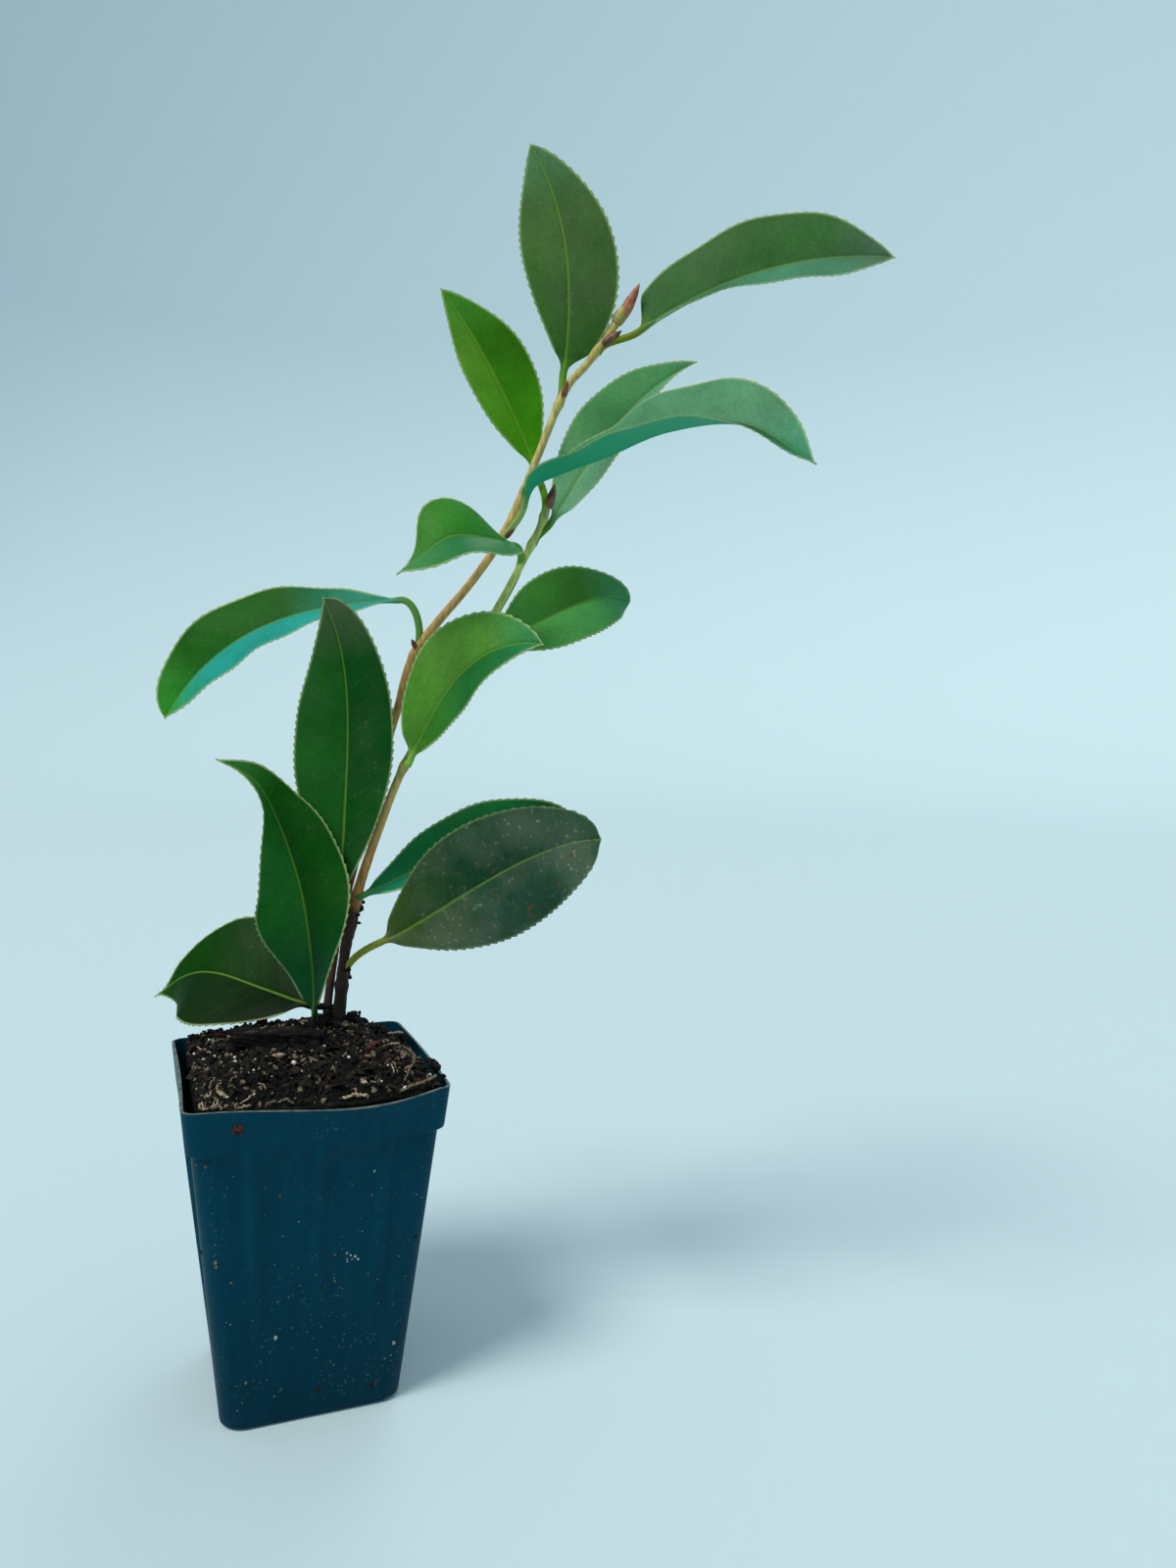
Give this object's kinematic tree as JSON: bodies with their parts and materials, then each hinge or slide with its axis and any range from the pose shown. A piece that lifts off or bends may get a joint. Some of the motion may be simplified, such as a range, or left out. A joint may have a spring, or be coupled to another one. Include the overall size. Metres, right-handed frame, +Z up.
{
  "type": "potted camellia",
  "caption": "Young camellia with leaning shoots and pointed leathery leaves, rooted in a small square tapered nursery pot that stands on its flat foot.",
  "frame": {"origin": "centre of the pot's flat underside, on the ground", "axes": "+Z up, square to the underside; the pot's flat faces look along X and Y, with the front face along -Y; the shoots lean towards +X"},
  "size_m": [0.2005, 0.1527, 0.3804],
  "materials": {
    "pot_plastic": "thin moulded nursery plastic, dark petrol blue, satin",
    "potting_mix": "moist fine bark with fibres and white grains",
    "old_bark": "dark brown rough bark",
    "young_bark": "smooth tan bark, greener towards the tip",
    "leaf_green": "glossy leathery leaf, paler beneath"
  },
  "bodies": {
    "root": {"pot": "pot_plastic", "root_ball": "potting_mix", "stem_foot": "old_bark", "old_wood": "old_bark", "front_shoot": "young_bark", "leader_shoot": "young_bark", "leaf_low_left": "leaf_green", "leaf_front_tall": "leaf_green", "leaf_back_tall": "leaf_green", "leaf_left_arch": "leaf_green", "leaf_mid_front": "leaf_green", "leaf_back_right": "leaf_green", "leaf_mid_left": "leaf_green", "leaf_long_right": "leaf_green", "leaf_behind_right": "leaf_green", "leaf_upper_left": "leaf_green", "leaf_top": "leaf_green", "leaf_top_right": "leaf_green", "leaf_low_right": "leaf_green", "leaf_low_behind": "leaf_green"}
  },
  "joints": []
}
